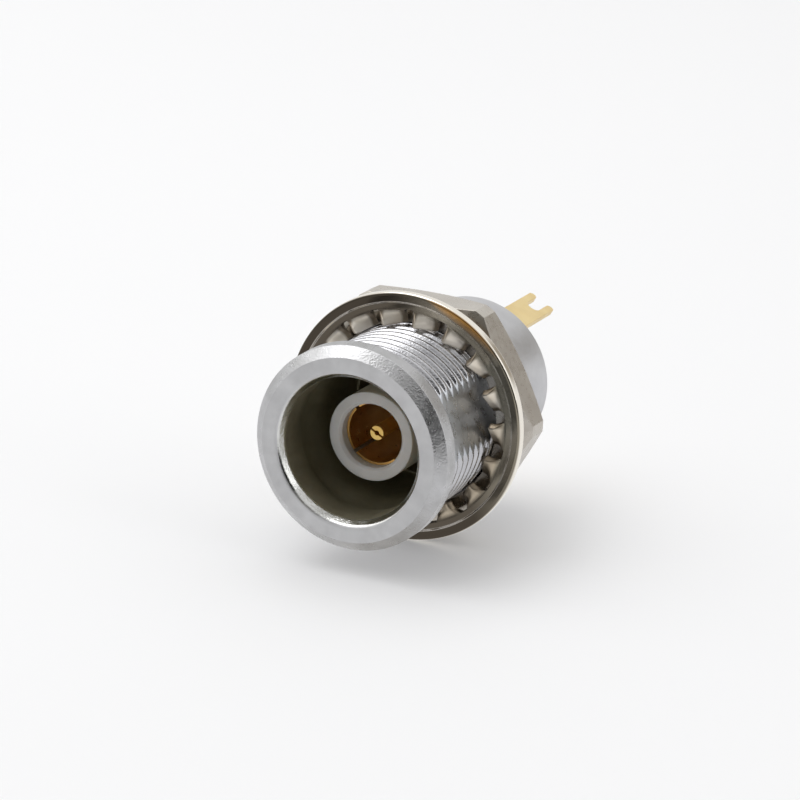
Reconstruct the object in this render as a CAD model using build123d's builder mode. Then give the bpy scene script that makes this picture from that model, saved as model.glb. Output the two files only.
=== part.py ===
from build123d import *
from math import cos, radians, sin, tan
import os

# Triax panel socket. The mating axis is Y, with the mouth towards -Y and +Z up.
# The origin is on the axis, in the rear face of the flange, where the panel seats.
# All lengths are in millimetres, and a position is its distance behind that face.

# Bore of the shell: front land, latch groove, and the wider chamber that takes the insert from behind
MATING_BORE = 6.94
LAND_LENGTH = 1.6
LATCH_GROOVE_DEPTH = 0.28
LATCH_GROOVE_WIDTH = 1.6
LATCH_GROOVE_RAMP = 0.25
CHAMBER_STEP = 0.13
INSERT_CLEARANCE = 0.02

# Wall of the threaded barrel (9 mm over the crests) with its two flats, and of the smooth tail behind it
BARREL_WALL = 1.03
THREAD_LENGTH = 10.0
THREAD_END_CHAMFER = 0.25
FLAT_DEPTH = 0.4
FLAT_ANGLE = 15.7
TAIL_WALL = 0.44
TAIL_LENGTH = 2.9
TAIL_CHAMFER = 0.15

# Flange, and the conical mouth that leads into the bore
FLANGE_STEP = 0.5
FLANGE_THICKNESS = 1.3
FLANGE_CHAMFER_WIDTH = 0.5
FLANGE_CHAMFER_DEPTH = 0.45
MOUTH_STEP = 0.26
MOUTH_DEPTH = 0.42

# Earthing crown, a slotted spring ring
CROWN_LENGTH = 2.0
CROWN_THICKNESS = 0.2
CROWN_BAND = 0.5
CROWN_BOW = 0.2
CROWN_SLOTS = 6
CROWN_SLOT_WIDTH = 0.4

# White front insulator
SLEEVE_DIAMETER = 4.36
SLEEVE_FRONT = 1.2
SLEEVE_LIP_DIAMETER = 3.16
SLEEVE_LIP_BREAK = 0.14
SLEEVE_COLLAR_THICKNESS = 0.8

# Gold shield contact
SHIELD_DIAMETER = 3.7
SHIELD_FRONT = 1.85
SHIELD_BORE = 2.96
SHIELD_REAR_BORE = 3.2
SHIELD_SLOTS = 4
SHIELD_SLOT_WIDTH = 0.2
SHIELD_SLOT_LENGTH = 3.4
SHIELD_COLLAR_DIAMETER = 5.2
SHIELD_COLLAR_THICKNESS = 0.6
SHIELD_RIM_WIDTH = 0.2
SHIELD_RIM_LENGTH = 0.25

# Core insulator in two halves, with the centre contact's collar between them
CORE_LENGTH = 2.8
RETAINER_LENGTH = 3.2

# Gold centre contact
CONTACT_DIAMETER = 0.7
CONTACT_HOLE = 0.24
CONTACT_HOLE_DEPTH = 3.2
CONTACT_SLOT_WIDTH = 0.1
CONTACT_SLOT_LENGTH = 2.6
CONTACT_SLOT_ANGLE = -28.0
CONTACT_COLLAR_DIAMETER = 1.2
CONTACT_COLLAR_THICKNESS = 0.4
SOLDER_CUP_DIAMETER = 1.0
SOLDER_CUP_HOLE = 0.66
SOLDER_CUP_DEPTH = 1.3
SOLDER_CUP_REACH = 0.65

# Rear insulator and the end ring that holds it in the chamber
BUSH_FLANGE_THICKNESS = 0.8
END_RING_THICKNESS = 1.4
END_RING_WALL = 0.96
END_RING_RECESS = 0.7
END_RING_SLOT_WIDTH = 0.6
END_RING_SLOT_DEPTH = 0.5

# Forked solder tag on its ring
TAG_THICKNESS = 0.3
TAG_RING_WALL = 0.58
TAG_ANGLE = 62.7
TAG_OFFSET = 3.2
TAG_WIDTH = 1.5
TAG_LENGTH = 4.5
TAG_SLOT_WIDTH = 0.7
TAG_SLOT_DEPTH = 1.45
TAG_BEND_RADIUS = 0.35
TAG_PRONG_BREAK = 0.12

# Hexagon nut, with its corners turned off
NUT_WALL = 1.0
NUT_CORNER_CUT = 0.151
NUT_THICKNESS = 2.4
NUT_CHAMFER_WIDTH = 1.02
NUT_CHAMFER_ANGLE = 30.0
NUT_POSITION = 5.53

# Internal-tooth lock washer, as wide as the nut's corners
WASHER_RING_WIDTH = 0.83
WASHER_THICKNESS = 0.4
WASHER_BAND_WIDTH = 0.46
WASHER_BAND_RISE = 0.12
WASHER_STEP = 0.07
TEETH = 18
TOOTH_WIDTH = 1.3
TOOTH_TWIST = 45.0
TOOTH_TWIST_LENGTH = 0.28
TOOTH_ROOT_SINK = 0.1

# Clearance of the nut's bore and the washer's teeth round the thread
NUT_CLEARANCE = 0.05
TOOTH_CLEARANCE = 0.08

# Radii of the shell
bore_radius = MATING_BORE / 2
mouth_radius = bore_radius + MOUTH_STEP
groove_radius = bore_radius + LATCH_GROOVE_DEPTH
chamber_radius = bore_radius + CHAMBER_STEP
insert_radius = chamber_radius - INSERT_CLEARANCE
thread_radius = bore_radius + BARREL_WALL
flat_radius = thread_radius - FLAT_DEPTH
tail_radius = chamber_radius + TAIL_WALL
flange_radius = thread_radius + FLANGE_STEP

# Radii of the contacts
shield_radius = SHIELD_DIAMETER / 2
contact_radius = CONTACT_DIAMETER / 2

# Positions of the bore's steps, and of the insert, which is stacked forwards from the end ring
mouth_end = MOUTH_DEPTH - FLANGE_THICKNESS
groove_start = mouth_end + LAND_LENGTH
groove_end = groove_start + LATCH_GROOVE_WIDTH
shell_end = THREAD_LENGTH + TAIL_LENGTH
end_ring_rear = shell_end - END_RING_RECESS
bush_flange_end = end_ring_rear - END_RING_THICKNESS
shield_collar_end = bush_flange_end - BUSH_FLANGE_THICKNESS
sleeve_end = shield_collar_end - SHIELD_COLLAR_THICKNESS
crown_end = sleeve_end - SLEEVE_COLLAR_THICKNESS
chamber_start = crown_end - CROWN_LENGTH
core_end = end_ring_rear - RETAINER_LENGTH
core_front = core_end - CORE_LENGTH
tag_front = shell_end
tag_rear = tag_front + TAG_THICKNESS
tag_end = tag_front + TAG_LENGTH
shield_end = tag_rear + SHIELD_RIM_LENGTH
cup_end = shield_end + SOLDER_CUP_REACH


def outline(*points):
    """Closed outline of (radius, position) points, to be turned round the mating axis."""
    with BuildSketch() as profile:
        with BuildLine():
            Polyline(*points, close=True)
        make_face()
    return profile.sketch


def cross_plane(position, angle=0.0):
    """Plane across the axis at a position, its X turned by an angle from +X towards +Z."""
    turned = radians(angle)
    return Plane(origin=(0, position, 0), x_dir=(cos(turned), 0, sin(turned)), z_dir=(0, 1, 0))


# Outer shell: outside and bore are one turned outline, and the flats are milled afterwards
with BuildPart() as outer_shell:
    section = outline(
        (mouth_radius, -FLANGE_THICKNESS),
        (flange_radius - FLANGE_CHAMFER_WIDTH, -FLANGE_THICKNESS),
        (flange_radius, FLANGE_CHAMFER_DEPTH - FLANGE_THICKNESS),
        (flange_radius, 0),
        (thread_radius, 0),
        (thread_radius, THREAD_LENGTH - THREAD_END_CHAMFER),
        (thread_radius - THREAD_END_CHAMFER, THREAD_LENGTH),
        (tail_radius, THREAD_LENGTH),
        (tail_radius, shell_end - TAIL_CHAMFER),
        (tail_radius - TAIL_CHAMFER, shell_end),
        (chamber_radius, shell_end),
        (chamber_radius, chamber_start),
        (bore_radius, chamber_start),
        (bore_radius, groove_end),
        (groove_radius, groove_end - LATCH_GROOVE_RAMP),
        (groove_radius, groove_start),
        (bore_radius, groove_start),
        (bore_radius, mouth_end),
    )
    revolve(section, axis=Axis.Y)
    with BuildSketch(cross_plane(0, FLAT_ANGLE)):
        with PolarLocations((flat_radius + thread_radius + FLAT_DEPTH) / 2, 2):
            Rectangle(2 * FLAT_DEPTH, 2 * thread_radius)
    extrude(amount=THREAD_LENGTH, mode=Mode.SUBTRACT)
outer_shell.part.label = "outer_shell"

# Earthing crown: a thin ring whose slotted fingers are bent inwards to grip the plug
crown_inner = insert_radius - CROWN_THICKNESS
crown_fingers_end = crown_end - CROWN_BAND
crown_middle = (chamber_start + crown_fingers_end) / 2
with BuildPart() as earth_crown:
    section = outline(
        (insert_radius, crown_end),
        (crown_inner, crown_end),
        (crown_inner, crown_fingers_end),
        (crown_inner - CROWN_BOW, crown_middle),
        (crown_inner, chamber_start),
        (insert_radius, chamber_start),
        (insert_radius - CROWN_BOW, crown_middle),
        (insert_radius, crown_fingers_end),
    )
    revolve(section, axis=Axis.Y)
    with BuildSketch(cross_plane(chamber_start)):
        with PolarLocations(chamber_radius, CROWN_SLOTS):
            Rectangle(chamber_radius, CROWN_SLOT_WIDTH)
    extrude(amount=crown_fingers_end - chamber_start, mode=Mode.SUBTRACT)
earth_crown.part.label = "earth_crown"

# White front insulator: a sleeve with a bevelled lip over the shield contact's rim, and a seating collar
sleeve_radius = SLEEVE_DIAMETER / 2
lip_radius = SLEEVE_LIP_DIAMETER / 2
sleeve_bore = shield_radius + INSERT_CLEARANCE
with BuildPart() as front_insulator:
    section = outline(
        (lip_radius, SLEEVE_FRONT),
        (sleeve_radius, SLEEVE_FRONT),
        (sleeve_radius, crown_end),
        (insert_radius, crown_end),
        (insert_radius, sleeve_end),
        (sleeve_bore, sleeve_end),
        (sleeve_bore, SHIELD_FRONT),
        (lip_radius, SHIELD_FRONT),
    )
    revolve(section, axis=Axis.Y)
    lip_edge = front_insulator.edges().group_by(Axis.Y)[0].sort_by(SortBy.RADIUS)[0]
    chamfer(lip_edge, length=SLEEVE_LIP_BREAK)
front_insulator.part.label = "front_insulator"

# Gold shield contact: a slotted tube with a collar, riveted over the tag ring at its rear end
with BuildPart() as shield_contact:
    section = outline(
        (SHIELD_BORE / 2, SHIELD_FRONT),
        (shield_radius, SHIELD_FRONT),
        (shield_radius, sleeve_end),
        (SHIELD_COLLAR_DIAMETER / 2, sleeve_end),
        (SHIELD_COLLAR_DIAMETER / 2, shield_collar_end),
        (shield_radius, shield_collar_end),
        (shield_radius, tag_rear),
        (shield_radius + SHIELD_RIM_WIDTH, tag_rear),
        (shield_radius, shield_end),
        (SHIELD_REAR_BORE / 2, shield_end),
        (SHIELD_REAR_BORE / 2, core_front),
        (SHIELD_BORE / 2, core_front),
    )
    revolve(section, axis=Axis.Y)
    with BuildSketch(cross_plane(SHIELD_FRONT)):
        with PolarLocations(shield_radius, SHIELD_SLOTS, start_angle=180 / SHIELD_SLOTS):
            Rectangle(shield_radius, SHIELD_SLOT_WIDTH)
    extrude(amount=SHIELD_SLOT_LENGTH, mode=Mode.SUBTRACT)
shield_contact.part.label = "shield_contact"

# Core insulator, front half, with a pocket for the centre contact's collar
core_radius = SHIELD_REAR_BORE / 2 - INSERT_CLEARANCE
core_bore = contact_radius + INSERT_CLEARANCE
collar_start = core_end - CONTACT_COLLAR_THICKNESS
collar_bore = CONTACT_COLLAR_DIAMETER / 2 + INSERT_CLEARANCE
with BuildPart() as core_insulator:
    section = outline(
        (core_bore, core_front),
        (core_radius, core_front),
        (core_radius, core_end),
        (collar_bore, core_end),
        (collar_bore, collar_start),
        (core_bore, collar_start),
    )
    revolve(section, axis=Axis.Y)
core_insulator.part.label = "core_insulator"

# Core insulator, rear half
cup_radius = SOLDER_CUP_DIAMETER / 2
retainer_bore = cup_radius + INSERT_CLEARANCE
with BuildPart() as core_retainer:
    section = outline(
        (retainer_bore, core_end),
        (core_radius, core_end),
        (core_radius, end_ring_rear),
        (retainer_bore, end_ring_rear),
    )
    revolve(section, axis=Axis.Y)
core_retainer.part.label = "core_retainer"

# Gold centre contact: split socket in front, collar, and a cut-away solder cup behind
with BuildPart() as centre_contact:
    section = outline(
        (0, SHIELD_FRONT),
        (contact_radius, SHIELD_FRONT),
        (contact_radius, collar_start),
        (CONTACT_COLLAR_DIAMETER / 2, collar_start),
        (CONTACT_COLLAR_DIAMETER / 2, core_end),
        (cup_radius, core_end),
        (cup_radius, cup_end),
        (0, cup_end),
    )
    revolve(section, axis=Axis.Y)
    with BuildSketch(cross_plane(SHIELD_FRONT)):
        Circle(CONTACT_HOLE / 2)
    extrude(amount=CONTACT_HOLE_DEPTH, mode=Mode.SUBTRACT)
    with BuildSketch(cross_plane(SHIELD_FRONT, CONTACT_SLOT_ANGLE)):
        Rectangle(2 * CONTACT_DIAMETER, CONTACT_SLOT_WIDTH)
    extrude(amount=CONTACT_SLOT_LENGTH, mode=Mode.SUBTRACT)
    with BuildSketch(cross_plane(cup_end)):
        Circle(SOLDER_CUP_HOLE / 2)
    extrude(amount=-SOLDER_CUP_DEPTH, mode=Mode.SUBTRACT)
    with BuildSketch(cross_plane(cup_end, TAG_ANGLE)):
        with Locations((cup_radius, 0)):
            Rectangle(SOLDER_CUP_DIAMETER, SOLDER_CUP_DIAMETER)
    extrude(amount=-SOLDER_CUP_DEPTH / 2, mode=Mode.SUBTRACT)
centre_contact.part.label = "centre_contact"

# Rear insulator: pocket over the shield contact's collar, flange in the chamber, hub through the end ring
bush_pocket = SHIELD_COLLAR_DIAMETER / 2 + INSERT_CLEARANCE
bush_bore = shield_radius + INSERT_CLEARANCE
hub_radius = insert_radius - END_RING_WALL - INSERT_CLEARANCE
with BuildPart() as rear_insulator:
    section = outline(
        (bush_pocket, sleeve_end),
        (insert_radius, sleeve_end),
        (insert_radius, bush_flange_end),
        (hub_radius, bush_flange_end),
        (hub_radius, tag_front),
        (bush_bore, tag_front),
        (bush_bore, shield_collar_end),
        (bush_pocket, shield_collar_end),
    )
    revolve(section, axis=Axis.Y)
rear_insulator.part.label = "rear_insulator"

# End ring, screwed into the tail, with a spanner slot across its rear face
with BuildPart() as end_ring:
    section = outline(
        (hub_radius + INSERT_CLEARANCE, bush_flange_end),
        (insert_radius, bush_flange_end),
        (insert_radius, end_ring_rear),
        (hub_radius + INSERT_CLEARANCE, end_ring_rear),
    )
    revolve(section, axis=Axis.Y)
    with BuildSketch(cross_plane(end_ring_rear)):
        Rectangle(2 * chamber_radius, END_RING_SLOT_WIDTH)
    extrude(amount=-END_RING_SLOT_DEPTH, mode=Mode.SUBTRACT)
end_ring.part.label = "end_ring"

# Shield tag: a ring on the shield contact, whose forked arm is bent to run straight back
tag_direction = radians(TAG_ANGLE)
tag_arm_plane = Plane(
    origin=(0, 0, 0),
    x_dir=(cos(tag_direction), 0, sin(tag_direction)),
    z_dir=(-sin(tag_direction), 0, cos(tag_direction)),
)
tag_face_plane = Plane(
    origin=(0, 0, 0),
    x_dir=(sin(tag_direction), 0, -cos(tag_direction)),
    z_dir=(cos(tag_direction), 0, sin(tag_direction)),
)
with BuildPart() as shield_tag:
    with BuildSketch(cross_plane(tag_front)):
        Circle(bush_bore + TAG_RING_WALL)
        Circle(bush_bore, mode=Mode.SUBTRACT)
    extrude(amount=TAG_THICKNESS)
    with BuildSketch(tag_arm_plane):
        with BuildLine():
            FilletPolyline(
                (bush_bore + TAG_THICKNESS, tag_front + TAG_THICKNESS / 2),
                (TAG_OFFSET, tag_front + TAG_THICKNESS / 2),
                (TAG_OFFSET, tag_end),
                radius=TAG_BEND_RADIUS,
            )
        trace(line_width=TAG_THICKNESS)
    extrude(amount=TAG_WIDTH / 2, both=True)
    with BuildSketch(tag_face_plane):
        with Locations((0, tag_end)):
            SlotOverall(2 * TAG_SLOT_DEPTH, TAG_SLOT_WIDTH, rotation=90)
    extrude(amount=TAG_OFFSET + TAG_THICKNESS, mode=Mode.SUBTRACT)
    prong_corners = shield_tag.edges().filter_by(Axis((0, 0, 0), tag_face_plane.z_dir)).group_by(Axis.Y)[-1]
    chamfer(prong_corners, length=TAG_PRONG_BREAK)
shield_tag.part.label = "shield_tag"

# Hexagon nut: corners turned off, and both faces chamfered by the same cone
nut_end = NUT_POSITION + NUT_THICKNESS
nut_bore = thread_radius + NUT_CLEARANCE
nut_flat = thread_radius + NUT_WALL
nut_corner = nut_flat / cos(radians(30)) - NUT_CORNER_CUT
nut_face = nut_corner - NUT_CHAMFER_WIDTH
nut_chamfer = NUT_CHAMFER_WIDTH * tan(radians(NUT_CHAMFER_ANGLE))
with BuildPart() as hex_nut:
    with BuildSketch(cross_plane(NUT_POSITION)):
        RegularPolygon(nut_flat, 6, major_radius=False)
    extrude(amount=NUT_THICKNESS)
    with BuildSketch():
        with BuildLine():
            Polyline(
                (nut_bore, NUT_POSITION),
                (nut_face, NUT_POSITION),
                (nut_corner, NUT_POSITION + nut_chamfer),
                (nut_corner, nut_end - nut_chamfer),
                (nut_face, nut_end),
                (nut_bore, nut_end),
                close=True,
            )
        make_face()
    revolve(axis=Axis.Y, mode=Mode.INTERSECT)
hex_nut.part.label = "hex_nut"

# One tooth of the lock washer: it leaves the ring flat, twists about its own radius and runs on straight
twist = radians(TOOTH_TWIST)
tooth_reach = TOOTH_WIDTH / 2 * sin(twist) + WASHER_THICKNESS / 2 * cos(twist)
washer_middle = NUT_POSITION - tooth_reach
washer_front = washer_middle - WASHER_THICKNESS / 2
washer_rear = washer_middle + WASHER_THICKNESS / 2
washer_radius = nut_corner
ring_bore = washer_radius - WASHER_RING_WIDTH
tooth_root = ring_bore + TOOTH_ROOT_SINK
tooth_bend = ring_bore - TOOTH_ROOT_SINK
tooth_turned = tooth_bend - TOOTH_TWIST_LENGTH
tooth_tip = thread_radius + TOOTH_CLEARANCE


def tooth_section(radius, turn):
    """Section of a tooth that lies along +X, at a distance from the axis, turned about its own length."""
    with BuildSketch(Plane(origin=(radius, 0, 0), x_dir=(0, 1, 0), z_dir=(-1, 0, 0))) as section:
        Rectangle(TOOTH_WIDTH, WASHER_THICKNESS, rotation=turn)
    return section.sketch


with BuildPart() as tooth:
    flat_section = tooth_section(tooth_bend, 0)
    turned_section = tooth_section(tooth_turned, -TOOTH_TWIST)
    extrude(flat_section, amount=tooth_bend - tooth_root)
    ConvexPolyhedron([corner.center() for corner in flat_section.vertices() + turned_section.vertices()])
    extrude(turned_section, amount=tooth_turned - tooth_tip)

# Lock washer: flat ring with a thicker, dished outer band behind a small step, and the teeth
band_inner = washer_radius - WASHER_BAND_WIDTH
with BuildPart(cross_plane(washer_middle)) as lock_washer:
    section = outline(
        (ring_bore, washer_front),
        (band_inner - WASHER_STEP, washer_front),
        (band_inner, washer_front - WASHER_STEP),
        (washer_radius, washer_front - WASHER_BAND_RISE),
        (washer_radius, washer_rear),
        (ring_bore, washer_rear),
    )
    revolve(section, axis=Axis.Y)
    with PolarLocations(0, TEETH):
        add(tooth.part)
lock_washer.part.label = "lock_washer"

os.makedirs("parts", exist_ok=True)
pieces = (
    outer_shell,
    earth_crown,
    front_insulator,
    shield_contact,
    core_insulator,
    core_retainer,
    centre_contact,
    rear_insulator,
    end_ring,
    shield_tag,
    hex_nut,
    lock_washer,
)
for piece in pieces:
    export_step(piece.part, f"parts/{piece.part.label}.step")
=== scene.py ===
from math import cos, pi, radians, sin, tan

import bpy
from mathutils import Matrix, Vector


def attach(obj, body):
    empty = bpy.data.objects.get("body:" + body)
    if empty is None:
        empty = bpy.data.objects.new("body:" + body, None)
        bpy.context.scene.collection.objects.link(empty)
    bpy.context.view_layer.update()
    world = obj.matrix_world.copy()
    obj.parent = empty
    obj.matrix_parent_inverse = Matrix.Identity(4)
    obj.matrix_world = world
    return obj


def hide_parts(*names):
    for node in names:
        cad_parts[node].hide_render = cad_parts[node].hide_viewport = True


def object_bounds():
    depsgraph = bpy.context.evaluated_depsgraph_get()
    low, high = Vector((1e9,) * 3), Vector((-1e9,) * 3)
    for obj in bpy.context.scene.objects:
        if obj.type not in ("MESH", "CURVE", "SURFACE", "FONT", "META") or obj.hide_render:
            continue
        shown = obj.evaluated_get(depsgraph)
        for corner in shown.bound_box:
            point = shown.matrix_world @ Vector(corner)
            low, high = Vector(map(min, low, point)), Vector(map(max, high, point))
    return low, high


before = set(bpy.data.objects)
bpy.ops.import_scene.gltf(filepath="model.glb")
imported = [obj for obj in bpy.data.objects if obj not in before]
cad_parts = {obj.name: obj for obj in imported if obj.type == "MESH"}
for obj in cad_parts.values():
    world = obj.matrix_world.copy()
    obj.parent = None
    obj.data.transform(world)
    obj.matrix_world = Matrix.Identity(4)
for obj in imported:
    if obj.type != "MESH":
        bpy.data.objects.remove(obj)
cad_low, cad_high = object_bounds()

MM = 0.001

# The shell's sizes, in millimetres. Positions run along the mating axis from the panel seat.
FLANGE_RADIUS = 5.0
FLANGE_THICKNESS = 1.3
FLANGE_CHAMFER_WIDTH = 0.5
FLANGE_CHAMFER_DEPTH = 0.45
MOUTH_RADIUS = 3.73
MOUTH_DEPTH = 0.42
BORE_RADIUS = 3.47
LAND_LENGTH = 1.6
GROOVE_RADIUS = 3.75
GROOVE_WIDTH = 1.6
GROOVE_RAMP = 0.25
CHAMBER_RADIUS = 3.6
CHAMBER_START = 6.6
THREAD_RADIUS = 4.5
THREAD_LENGTH = 10.0
THREAD_END_CHAMFER = 0.25
THREAD_PITCH = 0.6
THREAD_DEPTH = 0.17
CREST_SHARE = 0.2
ROOT_SHARE = 0.14
FLAT_RADIUS = 4.1
FLAT_ANGLE = 15.7
TAIL_RADIUS = 4.04
TAIL_CHAMFER = 0.15
SHELL_END = 12.9
EDGE_ROUND = 0.06
MOUTH_INNER_ROUND = 0.3
MOUTH_OUTER_ROUND = 0.3

# The lock washer's sizes, in millimetres. A tooth leaves the ring flat and twists about its own radius.
WASHER_RADIUS = 6.2
WASHER_BAND_INNER = 5.74
WASHER_RING_BORE = 5.37
WASHER_MIDDLE = 4.929
WASHER_THICKNESS = 0.4
WASHER_BAND_RISE = 0.12
WASHER_STEP = 0.07
WASHER_EDGE = 0.04
WASHER_RIM_ROUND = 0.14
TEETH = 18
TOOTH_WIDTH = 1.3
TOOTH_TIP = 4.58
TOOTH_TWIST = 38
TOOTH_TWIST_START = 5.36
TOOTH_TWIST_END = 4.84
TOOTH_FILLET = 0.28
TOOTH_CORNER = 0.1
TOOTH_SINK = 0.003
TOOTH_SECTIONS = 26
TIP_CORNER_LOSS = 0.9
CORNER_STEPS = 5

# The washer's tarnish and painted reflections: where its zones change, in millimetres along the radius, and
# how softly
TARNISH_AND_REFLECTION_INSET = 0.13
TARNISH_AND_REFLECTION_SOFTNESS = 0.2
STEP_LINE_INSET = 0.005
STEP_LINE_REACH = 0.012
STEP_LINE_SOFTNESS = 0.02
RIM_SOFTNESS = 0.04
# Where the painted sheen on the teeth begins, inward of the ring, and how softly
PAINTED_SHEEN_INSET = 0.2
PAINTED_SHEEN_SOFTNESS = 0.15
SATIN_RADIUS = 5.2
GLOSSY_RADIUS = 5.5

# Directions round the axis of its painted light and shade, in degrees from +X towards +Z
# Side on which the ring and band are paler: painted reflection
PALE_SIDE_ANGLE = 25
# Middle and reach of the band's amber stretch, a painted reflection
AMBER_ANGLE = 60
AMBER_HALF_CORE = 7
AMBER_HALF_REACH = 24
# Side on which the teeth are darkened by painted shade, the shadowed floor they reflect
SHADED_TEETH_ANGLE = -45
# Side on which the teeth are half metal and paler: painted sheen
PAINTED_SHEEN_ANGLE = 110

# The mesh: points round the axis, rows of the thread, steps of an arc with the support points beside it,
# and the angle in degrees from which an edge stays sharp
SEGMENTS = 288
ROWS_PER_PITCH = 16
ROUND_STEPS = 5
ARC_LEAD = 0.008
SHELL_SHARP_ANGLE = 50
WASHER_SHARP_ANGLE = 60

# Where thread and flat meet: the cosine that bounds the search for a flat, the soft blend, and its finish
FLAT_SIDE = 0.5
FLAT_BLEND = 0.09
FLAT_FINISH_INSET = 0.015

# Scales of the noise in the finishes, in cells a metre, and the colour of the shade painted in recesses
PATCH_SCALE = 700
TARNISH_SCALE = 900
GLOSS_SCALE = 2600
PLASTIC_GLOSS_SCALE = 4000
TURNING_SCALE = 9000
PAINTED_RECESS_SHADE = (0.12, 0.10, 0.075)

# Slots of the shell's materials
TAIL, BORE, MOUTH, RIM, THREAD, FRONT_FACE, MILLED_FLAT = range(7)

# Sockets of Blender's colour mix node
MIX_SHARE = 0
MIX_UNDER = 6
MIX_OVER = 7
MIX_RESULT = 2


def rounded(points, radii):
    """Open outline with its inner corners rounded, each by an arc of its own radius."""
    line = [Vector(points[0])]
    for before, corner, after, radius in zip(points, points[1:], points[2:], radii):
        corner = Vector(corner)
        to_before = (Vector(before) - corner).normalized()
        to_after = (Vector(after) - corner).normalized()
        opening = to_before.angle(to_after)
        reach = radius / tan(opening / 2)
        centre = corner + (to_before + to_after).normalized() * (radius / sin(opening / 2))
        start = corner + to_before * reach - centre
        end = corner + to_after * reach - centre
        sweep = start.angle_signed(end)
        line.append(centre + start + to_before * ARC_LEAD)
        for step in range(ROUND_STEPS + 1):
            share = step / ROUND_STEPS
            line.append(centre + Matrix.Rotation(-sweep * share, 2) @ start)
        line.append(centre + end + to_after * ARC_LEAD)
    line.append(Vector(points[-1]))
    return line


def thread_radius(angle, position):
    """Radius of the right-hand thread at an angle and a position, cut by the flats and the end chamfer."""
    turn = (position / THREAD_PITCH + angle / (2 * pi)) % 1.0
    from_crest = abs(turn - 0.5) * 2
    share = (from_crest - CREST_SHARE) / (1 - CREST_SHARE - ROOT_SHARE)
    share = min(max(share, 0.0), 1.0)
    radius = THREAD_RADIUS - THREAD_DEPTH * share * share * (3 - 2 * share)
    side = abs(cos(angle - radians(FLAT_ANGLE)))
    if side > FLAT_SIDE:
        flat = FLAT_RADIUS / side
        closeness = max(FLAT_BLEND - abs(radius - flat), 0) / FLAT_BLEND
        radius = min(radius, flat) - closeness * closeness * FLAT_BLEND / 4
    into_chamfer = position - (THREAD_LENGTH - THREAD_END_CHAMFER)
    return min(radius, THREAD_RADIUS - into_chamfer)


def turned_faces(vertices, rows):
    """Adds rows of points turned round the mating axis and returns their faces, with the row of each."""
    first = len(vertices)
    for radius, position in rows:
        for segment in range(SEGMENTS):
            angle = 2 * pi * segment / SEGMENTS
            here = thread_radius(angle, position) if radius is None else radius
            vertices.append((here * cos(angle) * MM, position * MM, here * sin(angle) * MM))
    faces = []
    count = len(rows)
    for row in range(count):
        following = (row + 1) % count
        for segment in range(SEGMENTS):
            beside = (segment + 1) % SEGMENTS
            faces.append((
                first + row * SEGMENTS + segment,
                first + following * SEGMENTS + segment,
                first + following * SEGMENTS + beside,
                first + row * SEGMENTS + beside,
            ))
    return faces


def mesh_piece(name, vertices, faces, materials, slots, sharp):
    """Smooth-shaded object from points and faces, with edges sharper than an angle kept."""
    mesh = bpy.data.meshes.new(name)
    mesh.from_pydata(vertices, [], faces)
    for material in materials:
        mesh.materials.append(material)
    mesh.polygons.foreach_set("material_index", slots)
    mesh.polygons.foreach_set("use_smooth", [True] * len(faces))
    mesh.set_sharp_from_angle(angle=radians(sharp))
    piece = bpy.data.objects.new(name, mesh)
    bpy.context.scene.collection.objects.link(piece)
    return piece


def blade_section(half_width, half_thickness, corner):
    """Loop of (across, through) points round a tooth's section, with rounded corners."""
    loop = []
    for side, (across, through) in enumerate(((1, 1), (-1, 1), (-1, -1), (1, -1))):
        for step in range(CORNER_STEPS + 1):
            turn = pi / 2 * (side + step / CORNER_STEPS)
            loop.append((
                across * (half_width - corner) + corner * cos(turn),
                through * (half_thickness - corner) + corner * sin(turn),
            ))
    return loop


def add_tooth(vertices, faces, angle):
    """One tooth of the washer: sections from inside the ring to the tip, flared at the root and twisted."""
    outward = Vector((cos(angle), 0, sin(angle)))
    along = Vector((-sin(angle), 0, cos(angle)))
    rear = Vector((0, 1, 0))
    root = WASHER_RING_BORE + TOOTH_CORNER
    half_pitch = WASHER_RING_BORE * pi / TEETH
    half_width = TOOTH_WIDTH / 2
    half_thickness = WASHER_THICKNESS / 2 - TOOTH_SINK
    gap = half_pitch - half_width
    loops = []
    length = root - TOOTH_TIP - TOOTH_CORNER
    stations = [root - length * step / TOOTH_SECTIONS for step in range(TOOTH_SECTIONS + 1)]
    rounding = [pi / 2 * step / CORNER_STEPS for step in range(1, CORNER_STEPS + 1)]
    places = [(radius, 0.0) for radius in stations]
    places += [(stations[-1] - TOOTH_CORNER * sin(turn), TOOTH_CORNER * (1 - cos(turn))) for turn in rounding]
    for radius, inset in places:
        into_fillet = min(max(radius - (WASHER_RING_BORE - TOOTH_FILLET), 0.0), TOOTH_FILLET) / TOOTH_FILLET
        flare = gap * (1 - (1 - into_fillet ** 2) ** 0.5)
        share = (TOOTH_TWIST_START - radius) / (TOOTH_TWIST_START - TOOTH_TWIST_END)
        share = min(max(share, 0.0), 1.0)
        twist = radians(TOOTH_TWIST) * share * share * (3 - 2 * share)
        width_line = along * cos(twist) - rear * sin(twist)
        depth_line = along * sin(twist) + rear * cos(twist)
        corner = TOOTH_CORNER - inset * TIP_CORNER_LOSS
        loops.append([
            outward * radius + rear * WASHER_MIDDLE + width_line * across + depth_line * through
            for across, through in blade_section(half_width + flare - inset, half_thickness - inset, corner)
        ])
    first = len(vertices)
    size = len(loops[0])
    for loop in loops:
        vertices.extend(tuple(point * MM) for point in loop)
    for row in range(len(loops) - 1):
        for place in range(size):
            beside = (place + 1) % size
            faces.append((
                first + row * size + place,
                first + row * size + beside,
                first + (row + 1) * size + beside,
                first + (row + 1) * size + place,
            ))
    faces.append(tuple(first + place for place in reversed(range(size))))
    faces.append(tuple(first + (len(loops) - 1) * size + place for place in range(size)))


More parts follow.
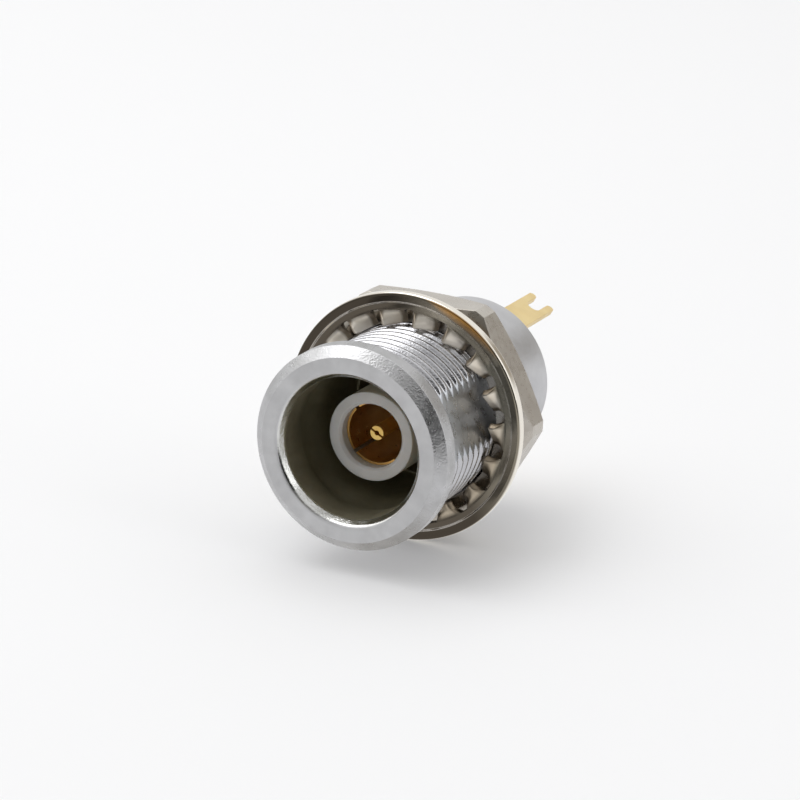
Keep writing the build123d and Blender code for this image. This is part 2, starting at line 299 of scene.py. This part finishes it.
class Nodes:
    """Short ways to add and link the nodes of one material or of the world."""

    def __init__(self, tree):
        self.tree = tree

    def add(self, kind, **settings):
        node = self.tree.nodes.new(kind)
        for key, value in settings.items():
            setattr(node, key, value)
        return node

    def link(self, output, target):
        self.tree.links.new(output, target)

    def position(self):
        return self.add("ShaderNodeTexCoord").outputs["Object"]

    def noise(self, scale, detail=2.0, stretch=None):
        texture = self.add("ShaderNodeTexNoise")
        texture.inputs["Scale"].default_value = scale
        texture.inputs["Detail"].default_value = detail
        vector = self.position()
        if stretch:
            mapping = self.add("ShaderNodeMapping")
            mapping.inputs["Scale"].default_value = stretch
            self.link(vector, mapping.inputs["Vector"])
            vector = mapping.outputs["Vector"]
        self.link(vector, texture.inputs["Vector"])
        return texture.outputs["Fac"]

    def spread(self, value, low, high, start=0.3, end=0.7):
        ramp = self.add("ShaderNodeMapRange")
        ramp.inputs["From Min"].default_value = start
        ramp.inputs["From Max"].default_value = end
        ramp.inputs["To Min"].default_value = low
        ramp.inputs["To Max"].default_value = high
        self.link(value, ramp.inputs["Value"])
        return ramp.outputs["Result"]

    def blend(self, share, under, over):
        """One colour over another by a share; each is a plain colour or a node's output."""
        mix = self.add("ShaderNodeMix", data_type="RGBA")
        self.link(share, mix.inputs[MIX_SHARE])
        for colour, target in ((under, mix.inputs[MIX_UNDER]), (over, mix.inputs[MIX_OVER])):
            if isinstance(colour, tuple):
                target.default_value = (*colour, 1)
            else:
                self.link(colour, target)
        return mix.outputs[MIX_RESULT]

    def nearness(self, heading, direction):
        """Dot product of a heading with a fixed direction."""
        product = self.add("ShaderNodeVectorMath", operation="DOT_PRODUCT")
        self.link(heading, product.inputs[0])
        product.inputs[1].default_value = direction
        return product.outputs["Value"]

    def multiply(self, first, second):
        product = self.add("ShaderNodeMath", operation="MULTIPLY")
        for factor, target in ((first, product.inputs[0]), (second, product.inputs[1])):
            if isinstance(factor, (int, float)):
                target.default_value = factor
            else:
                self.link(factor, target)
        return product.outputs["Value"]

    def bump(self, height, strength, distance, edge=0.0):
        relief = self.add("ShaderNodeBump")
        relief.inputs["Strength"].default_value = strength
        relief.inputs["Distance"].default_value = distance
        self.link(height, relief.inputs["Height"])
        if edge:
            soft = self.add("ShaderNodeBevel", samples=6)
            soft.inputs["Radius"].default_value = edge
            self.link(soft.outputs["Normal"], relief.inputs["Normal"])
        return relief.outputs["Normal"]


def material(name):
    made = bpy.data.materials.new(name)
    made.use_nodes = True
    return made, Nodes(made.node_tree), made.node_tree.nodes["Principled BSDF"]


def metal(name, light, dark, smooth, rough, grain, grain_depth, edge=0.0, recess_shade=0.0):
    """Plated metal: two shades in soft patches, a fine grain, uneven gloss, and painted shade in recesses."""
    made, nodes, surface = material(name)
    surface.inputs["Metallic"].default_value = 1.0
    patches = nodes.spread(nodes.noise(PATCH_SCALE, 3.0), 0.0, 1.0)
    colour = nodes.blend(patches, light, dark)
    # Painted shade: darker where ambient occlusion finds a recess within the given reach
    if recess_shade:
        recess = nodes.add("ShaderNodeAmbientOcclusion", samples=8)
        recess.inputs["Distance"].default_value = recess_shade
        share = nodes.spread(recess.outputs["AO"], 1.0, 0.0, 0.2, 0.7)
        colour = nodes.blend(share, colour, PAINTED_RECESS_SHADE)
    nodes.link(colour, surface.inputs["Base Color"])
    nodes.link(nodes.spread(nodes.noise(GLOSS_SCALE, 4.0), smooth, rough), surface.inputs["Roughness"])
    grains = nodes.noise(grain, 2.0)
    nodes.link(nodes.bump(grains, 0.5, grain_depth, edge), surface.inputs["Normal"])
    return made


chrome = metal(
    "satin_chrome_finish", light=(0.64, 0.64, 0.65), dark=(0.55, 0.55, 0.56),
    smooth=0.32, rough=0.42, grain=9000, grain_depth=0.00002, edge=0.00003,
)
face = metal(
    "satin_face_finish", light=(0.69, 0.69, 0.695), dark=(0.58, 0.58, 0.585),
    smooth=0.54, rough=0.64, grain=9000, grain_depth=0.00001, edge=0.00003,
)
blasted = metal(
    "blasted_chrome_finish", light=(0.62, 0.62, 0.63), dark=(0.46, 0.46, 0.46),
    smooth=0.24, rough=0.38, grain=11000, grain_depth=0.00004, edge=0.00003,
)
threaded = metal(
    "thread_chrome_finish", light=(0.66, 0.66, 0.68), dark=(0.50, 0.50, 0.52),
    smooth=0.18, rough=0.32, grain=9000, grain_depth=0.00003,
)
milled = metal(
    "milled_flat_finish", light=(0.58, 0.60, 0.63), dark=(0.53, 0.55, 0.58),
    smooth=0.24, rough=0.36, grain=9000, grain_depth=0.000015,
)
lip = metal(
    "mouth_chrome_finish", light=(0.80, 0.80, 0.78), dark=(0.60, 0.60, 0.58),
    smooth=0.14, rough=0.26, grain=9000, grain_depth=0.000018, edge=0.00003,
)
bore = metal(
    "bare_bore_finish", light=(0.50, 0.47, 0.35), dark=(0.42, 0.39, 0.28),
    smooth=0.45, rough=0.6, grain=7000, grain_depth=0.000006,
)
# Satin nickel for the nut and end ring, with painted shade in its recesses
nickel = metal(
    "satin_nickel_finish", light=(0.60, 0.565, 0.51), dark=(0.53, 0.49, 0.44),
    smooth=0.24, rough=0.34, grain=6000, grain_depth=0.000006, edge=0.00006, recess_shade=0.0007,
)
gold = metal(
    "gold_finish", light=(0.84, 0.52, 0.17), dark=(0.74, 0.42, 0.12),
    smooth=0.26, rough=0.38, grain=8000, grain_depth=0.000004, edge=0.00003,
)
tip_gold = metal(
    "contact_gold_finish", light=(1.0, 0.74, 0.28), dark=(0.95, 0.64, 0.20),
    smooth=0.46, rough=0.6, grain=8000, grain_depth=0.000004, edge=0.00003,
)
pale_gold = metal(
    "tag_gold_finish", light=(0.94, 0.76, 0.40), dark=(0.83, 0.64, 0.31),
    smooth=0.3, rough=0.42, grain=6000, grain_depth=0.000006, edge=0.00004,
)


def plastic(name, light, dark):
    """Pale insulating plastic, a little translucent, with faint turning marks."""
    made, nodes, surface = material(name)
    shade = nodes.spread(nodes.noise(TARNISH_SCALE, 3.0), 0.0, 1.0)
    nodes.link(nodes.blend(shade, light, dark), surface.inputs["Base Color"])
    nodes.link(nodes.spread(nodes.noise(PLASTIC_GLOSS_SCALE, 2.0), 0.38, 0.5), surface.inputs["Roughness"])
    surface.inputs["Subsurface Weight"].default_value = 0.7
    surface.inputs["Subsurface Radius"].default_value = (1.0, 0.8, 0.65)
    surface.inputs["Subsurface Scale"].default_value = 0.0009
    turning = nodes.noise(TURNING_SCALE, 2.0, (1.0, 4.0, 1.0))
    nodes.link(nodes.bump(turning, 0.3, 0.000006, 0.00008), surface.inputs["Normal"])
    return made


def washer_plating_and_painted_light():
    """Tarnished plated finish with painted light: light teeth, step and rim; a ring and band darkened by
    tarnish and painted reflection, paler on one side and amber in a stretch by painted reflection; painted
    shade between the teeth and on the lower ones; a painted sheen on the upper ones.
    """
    light = (0.94, 0.89, 0.80)
    light_patch = (0.80, 0.72, 0.60)
    # Teeth on the lower side: painted shade
    shaded_tooth = (0.50, 0.43, 0.33)
    # Gaps between the teeth: painted shade
    shade_between_teeth = (0.26, 0.215, 0.16)
    # Ring and band: darkened by tarnish and painted reflection, with paler copies for the side of painted
    # reflection
    ring_dark = (0.11, 0.093, 0.072)
    ring_pale = (0.36, 0.33, 0.26)
    band_dark = (0.07, 0.058, 0.044)
    band_pale = (0.30, 0.27, 0.21)
    # Amber on the band: painted reflection
    amber = (0.55, 0.27, 0.05)
    made, nodes, surface = material("washer_plating_and_painted_light")
    flatten = nodes.add("ShaderNodeVectorMath", operation="MULTIPLY")
    nodes.link(nodes.position(), flatten.inputs[0])
    flatten.inputs[1].default_value = (1, 0, 1)
    flat = flatten.outputs["Vector"]
    length = nodes.add("ShaderNodeVectorMath", operation="LENGTH")
    nodes.link(flat, length.inputs[0])
    radius = length.outputs["Value"]

    def sector(angle, low, high):
        """Share that rises towards one side of the washer, measured so that the rim there counts as one."""
        scale = WASHER_RADIUS * MM
        direction = (cos(radians(angle)) / scale, 0, sin(radians(angle)) / scale)
        return nodes.spread(nodes.nearness(flat, direction), 0.0, 1.0, low, high)

    def beyond(place, softness):
        """Share that rises from zero to one across a radius."""
        return nodes.spread(radius, 0.0, 1.0, (place - softness / 2) * MM, (place + softness / 2) * MM)

    def within_pitch():
        """Cosine that is one at the middle of each tooth and minus one at the middle of each gap."""
        parts = nodes.add("ShaderNodeSeparateXYZ")
        nodes.link(flat, parts.inputs["Vector"])
        turn = nodes.add("ShaderNodeMath", operation="ARCTAN2")
        nodes.link(parts.outputs["Z"], turn.inputs[0])
        nodes.link(parts.outputs["X"], turn.inputs[1])
        wave = nodes.add("ShaderNodeMath", operation="COSINE")
        nodes.link(nodes.multiply(turn.outputs["Value"], TEETH), wave.inputs[0])
        return wave.outputs["Value"]

    patches = nodes.spread(nodes.noise(TARNISH_SCALE, 3.0), 0.0, 1.0)
    colour = nodes.blend(patches, light, light_patch)
    # Teeth darker towards one side: painted shade standing for the shadowed floor they reflect
    colour = nodes.blend(sector(SHADED_TEETH_ANGLE, 0.3, 0.7), colour, shaded_tooth)
    # Painted shade in the gaps between the teeth
    in_gap = nodes.spread(within_pitch(), 1.0, 0.0, -0.1, 0.35)
    colour = nodes.blend(in_gap, colour, shade_between_teeth)
    # Ring and band paler towards one side: painted reflection
    pale_side = sector(PALE_SIDE_ANGLE, 0.3, 0.9)
    ring_colour = nodes.blend(pale_side, ring_dark, ring_pale)
    band_colour = nodes.blend(pale_side, band_dark, band_pale)
    # Amber stretch of the band: painted reflection
    amber_stretch = sector(AMBER_ANGLE, cos(radians(AMBER_HALF_REACH)), cos(radians(AMBER_HALF_CORE)))
    band_colour = nodes.blend(amber_stretch, band_colour, amber)
    # Zones along the radius: the ring and band darkened by tarnish and painted reflection, while the step
    # line and the rim keep the light colour
    zones = (
        (WASHER_RING_BORE - TARNISH_AND_REFLECTION_INSET, TARNISH_AND_REFLECTION_SOFTNESS, ring_colour),
        (WASHER_BAND_INNER - WASHER_STEP - STEP_LINE_INSET, STEP_LINE_SOFTNESS, light),
        (WASHER_BAND_INNER + STEP_LINE_REACH, STEP_LINE_SOFTNESS, band_colour),
        (WASHER_RADIUS - WASHER_RIM_ROUND / 4, RIM_SOFTNESS, light),
    )
    for place, softness, shown in zones:
        colour = nodes.blend(beyond(place, softness), colour, shown)
    nodes.link(colour, surface.inputs["Base Color"])
    # Teeth towards one side half metal, so that they look paler: painted sheen
    tooth_end = (WASHER_RING_BORE - PAINTED_SHEEN_INSET) * MM
    tooth_start = (WASHER_RING_BORE - PAINTED_SHEEN_INSET + PAINTED_SHEEN_SOFTNESS) * MM
    on_teeth = nodes.spread(radius, 1.0, 0.0, tooth_end, tooth_start)
    painted_sheen = nodes.multiply(on_teeth, sector(PAINTED_SHEEN_ANGLE, 0.3, 0.7))
    nodes.link(nodes.spread(painted_sheen, 1.0, 0.5, 0.0, 1.0), surface.inputs["Metallic"])
    gloss = nodes.spread(radius, 0.36, 0.13, SATIN_RADIUS * MM, GLOSSY_RADIUS * MM)
    nodes.link(gloss, surface.inputs["Roughness"])
    nodes.link(nodes.bump(nodes.noise(3000, 2.0), 0.5, 0.000004), surface.inputs["Normal"])
    return made


plating_and_painted_light = washer_plating_and_painted_light()
white = plastic("white_insulator_finish", (0.57, 0.56, 0.55), (0.50, 0.49, 0.48))

# The shell, with its thread
front = -FLANGE_THICKNESS
mouth_end = front + MOUTH_DEPTH
groove_start = mouth_end + LAND_LENGTH
groove_end = groove_start + GROOVE_WIDTH
flange_line = rounded(
    [
        (BORE_RADIUS, mouth_end + MOUTH_INNER_ROUND),
        (BORE_RADIUS, mouth_end),
        (MOUTH_RADIUS, front),
        (FLANGE_RADIUS - FLANGE_CHAMFER_WIDTH, front),
        (FLANGE_RADIUS, front + FLANGE_CHAMFER_DEPTH),
        (FLANGE_RADIUS, 0),
        (THREAD_RADIUS, 0),
    ],
    [MOUTH_INNER_ROUND, MOUTH_OUTER_ROUND] + [EDGE_ROUND / 2] * 3,
)
row_gap = THREAD_PITCH / ROWS_PER_PITCH
thread_rows = round(THREAD_LENGTH / row_gap)
thread_line = [(None, THREAD_LENGTH * row / thread_rows) for row in range(thread_rows + 1)]
tail_line = rounded(
    [
        (TAIL_RADIUS, THREAD_LENGTH),
        (TAIL_RADIUS, SHELL_END - TAIL_CHAMFER),
        (TAIL_RADIUS - TAIL_CHAMFER, SHELL_END),
        (CHAMBER_RADIUS, SHELL_END),
        (CHAMBER_RADIUS, CHAMBER_START),
    ],
    [EDGE_ROUND / 2] * 3,
)
bore_line = [
    (BORE_RADIUS, CHAMBER_START),
    (BORE_RADIUS, groove_end),
    (GROOVE_RADIUS, groove_end - GROOVE_RAMP),
    (GROOVE_RADIUS, groove_start),
    (BORE_RADIUS, groove_start),
]
flange_rows = [(point.x, point.y) for point in flange_line]
tail_rows = [(point.x, point.y) for point in tail_line]
shell_rows = flange_rows + thread_line + tail_rows + bore_line


def shell_finish(face):
    """Material slot of one of the shell's faces, by its place."""
    row, segment = divmod(face, SEGMENTS)
    radius, position = shell_rows[row]
    next_radius, next_position = shell_rows[(row + 1) % len(shell_rows)]
    if radius is None:
        side = abs(cos(2 * pi * segment / SEGMENTS - radians(FLAT_ANGLE)))
        return MILLED_FLAT if side > FLAT_RADIUS / THREAD_RADIUS + FLAT_FINISH_INSET else THREAD
    if next_radius is None:
        return RIM
    middle = (radius + next_radius) / 2
    place = (position + next_position) / 2
    if place < mouth_end and middle < MOUTH_RADIUS:
        return MOUTH
    if middle <= GROOVE_RADIUS:
        return BORE
    if front + EDGE_ROUND / 2 < place <= 0 and middle > FLANGE_RADIUS - FLANGE_CHAMFER_WIDTH:
        return RIM
    if place < front + EDGE_ROUND / 2:
        return FRONT_FACE
    return TAIL


shell_points = []
shell_faces = turned_faces(shell_points, shell_rows)
shell = mesh_piece(
    "threaded_shell",
    shell_points,
    shell_faces,
    [chrome, bore, lip, blasted, threaded, face, milled],
    [shell_finish(number) for number in range(len(shell_faces))],
    SHELL_SHARP_ANGLE,
)
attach(shell, "socket")
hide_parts("outer_shell")

# The lock washer, with its twisted teeth
washer_front = WASHER_MIDDLE - WASHER_THICKNESS / 2
washer_rear = WASHER_MIDDLE + WASHER_THICKNESS / 2
ring_corners = [
    (WASHER_RING_BORE, WASHER_MIDDLE),
    (WASHER_RING_BORE, washer_front),
    (WASHER_BAND_INNER - WASHER_STEP, washer_front),
    (WASHER_BAND_INNER, washer_front - WASHER_STEP),
    (WASHER_RADIUS, washer_front - WASHER_BAND_RISE),
    (WASHER_RADIUS, washer_rear),
    (WASHER_RING_BORE, washer_rear),
    (WASHER_RING_BORE, WASHER_MIDDLE),
]
washer_points = []
ring_radii = [WASHER_EDGE, WASHER_EDGE, WASHER_EDGE, WASHER_RIM_ROUND, WASHER_EDGE * 2, WASHER_EDGE]
ring_rows = [(point.x, point.y) for point in rounded(ring_corners, ring_radii)[:-1]]
washer_faces = turned_faces(washer_points, ring_rows)
for tooth in range(TEETH):
    add_tooth(washer_points, washer_faces, 2 * pi * tooth / TEETH)
washer = mesh_piece(
    "tooth_washer", washer_points, washer_faces, [plating_and_painted_light], [0] * len(washer_faces), WASHER_SHARP_ANGLE
)
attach(washer, "washer")
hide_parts("lock_washer")

# Finishes of the pieces carried over
finishes = {
    "earth_crown": bore,
    "front_insulator": white,
    "shield_contact": gold,
    "core_insulator": white,
    "core_retainer": white,
    "centre_contact": tip_gold,
    "rear_insulator": white,
    "end_ring": nickel,
    "shield_tag": pale_gold,
    "hex_nut": nickel,
    "lock_washer": plating_and_painted_light,
    "outer_shell": chrome,
}
for name, finish in finishes.items():
    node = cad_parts[name]
    for slot in node.material_slots:
        slot.material = finish
    if not node.material_slots:
        node.data.materials.append(finish)

# Floor under the washer's rim, in metres
FLOOR_SIZE = 4.0
PAPER_SCALE = 6
PAPER_LIGHT = (0.725, 0.725, 0.73)
PAPER_DARK = (0.705, 0.705, 0.71)
PAPER_GLOW = 0.165
half = FLOOR_SIZE / 2
corners = ((-half, -half), (half, -half), (half, half), (-half, half))
floor_mesh = bpy.data.meshes.new("floor")
floor_mesh.from_pydata([(x, y, cad_low[2]) for x, y in corners], [], [(0, 1, 2, 3)])
floor = bpy.data.objects.new("floor", floor_mesh)
bpy.context.scene.collection.objects.link(floor)
paper, nodes, surface = material("paper_floor")
tint = nodes.spread(nodes.noise(PAPER_SCALE, 2.0), 0.0, 1.0)
nodes.link(nodes.blend(tint, PAPER_LIGHT, PAPER_DARK), surface.inputs["Base Color"])
surface.inputs["Roughness"].default_value = 0.7
surface.inputs["Specular IOR Level"].default_value = 0.1
surface.inputs["Emission Color"].default_value = (1, 1, 1, 1)
surface.inputs["Emission Strength"].default_value = PAPER_GLOW
floor_mesh.materials.append(paper)
floor.visible_glossy = False

# Room: a light tent, darker towards the camera's side, with a few cards that show in the metal
CAMERA_SIDE_LEVEL = 0.40
FAR_SIDE_LEVEL = 0.84
BLACK = (0.0, 0.0, 0.0)
WHITE = (1.0, 1.0, 1.0)
GROUND = (0.86, 0.86, 0.87)
world = bpy.data.worlds.new("tent")
bpy.context.scene.world = world
world.use_nodes = True
nodes = Nodes(world.node_tree)
background = world.node_tree.nodes["Background"]
heading = nodes.add("ShaderNodeTexCoord").outputs["Generated"]
parts = nodes.add("ShaderNodeSeparateXYZ")
nodes.link(heading, parts.inputs["Vector"])


def card(under, direction, reach, softness, colour):
    """Round patch of a colour in one direction of the room, over what lies there; angles in degrees."""
    nearness = nodes.nearness(heading, Vector(direction).normalized())
    share = nodes.spread(nearness, 0.0, 1.0, cos(radians(reach + softness)), cos(radians(reach)))
    return nodes.blend(share, under, colour)


level = nodes.spread(parts.outputs["Y"], CAMERA_SIDE_LEVEL, FAR_SIDE_LEVEL, -0.9, 0.1)
tent = nodes.blend(level, BLACK, WHITE)
below_horizon = nodes.spread(parts.outputs["Z"], 1.0, 0.0, -0.12, 0.04)
room = nodes.blend(below_horizon, tent, GROUND)
# Under the object, a painted shadow that stands for the object's shadow on the floor; above on the left, on
# the right, above the camera, behind, and on the left
room = card(room, (0.1, 0.3, -1.0), reach=20, softness=24, colour=(0.54, 0.52, 0.49))
room = card(room, (-0.45, -0.25, 0.86), reach=10, softness=8, colour=(1.9, 1.9, 1.94))
room = card(room, (0.75, -0.60, 0.29), reach=22, softness=5, colour=(0.015, 0.015, 0.013))
room = card(room, (0.16, -0.85, 0.50), reach=12, softness=7, colour=(0.08, 0.07, 0.05))
room = card(room, (0.44, 0.84, 0.32), reach=8, softness=8, colour=(0.32, 0.29, 0.25))
room = card(room, (-0.79, -0.50, 0.34), reach=7, softness=7, colour=(0.15, 0.15, 0.12))
camera_ray = nodes.add("ShaderNodeLightPath").outputs["Is Camera Ray"]
nodes.link(nodes.blend(camera_ray, room, WHITE), background.inputs["Color"])
background.inputs["Strength"].default_value = 1.0


def softbox(name, direction, distance, width, height, power):
    """Oblong lamp that faces the object from a direction; sizes in metres, power in watts."""
    lamp = bpy.data.lights.new(name, "AREA")
    lamp.shape = "RECTANGLE"
    lamp.size = width
    lamp.size_y = height
    lamp.energy = power
    placed = bpy.data.objects.new(name, lamp)
    away = Vector(direction).normalized()
    placed.location = away * distance
    placed.rotation_euler = away.to_track_quat("Z", "Y").to_euler()
    bpy.context.scene.collection.objects.link(placed)


softbox("key_softbox", (-0.60, -0.32, 0.73), distance=0.35, width=0.36, height=0.36, power=0.42)
softbox("top_softbox", (-0.3, 0.2, 0.93), distance=0.4, width=0.26, height=0.26, power=0.31)
softbox("right_softbox", (0.95, -0.1, 0.45), distance=0.4, width=0.16, height=0.25, power=0.12)

# Camera, fitted to the photograph: the way back from the object to it and its right-hand side, the pixel at
# which the flange's front centre lies, and that centre's depth in metres
PICTURE_SIZE = 800
FACE_CENTRE = (346.85, 451.15)
CAMERA_DEPTH = 0.1635
VIEW_BACK = (0.4036, -0.8598, 0.3129)
VIEW_RIGHT = (0.8972, 0.4389, 0.0487)
LENS = 157.6
SENSOR = 36.0
camera_data = bpy.data.cameras.new("camera")
camera_data.lens = LENS
camera_data.sensor_width = SENSOR
camera_data.clip_start = 0.01
camera_data.clip_end = 20.0
camera = bpy.data.objects.new("camera", camera_data)
back = Vector(VIEW_BACK).normalized()
up = back.cross(Vector(VIEW_RIGHT).normalized()).normalized()
right = up.cross(back)
pixels_per_radian = LENS / SENSOR * PICTURE_SIZE
aside = (FACE_CENTRE[0] - PICTURE_SIZE / 2) / pixels_per_radian
below = (FACE_CENTRE[1] - PICTURE_SIZE / 2) / pixels_per_radian
face_centre = Vector((0, -FLANGE_THICKNESS * MM, 0))
place = face_centre + CAMERA_DEPTH * (back - right * aside + up * below)
camera.matrix_world = Matrix((
    (right.x, up.x, back.x, place.x),
    (right.y, up.y, back.y, place.y),
    (right.z, up.z, back.z, place.z),
    (0, 0, 0, 1),
))
bpy.context.scene.collection.objects.link(camera)
bpy.context.scene.camera = camera
bpy.context.scene.view_settings.view_transform = "Standard"
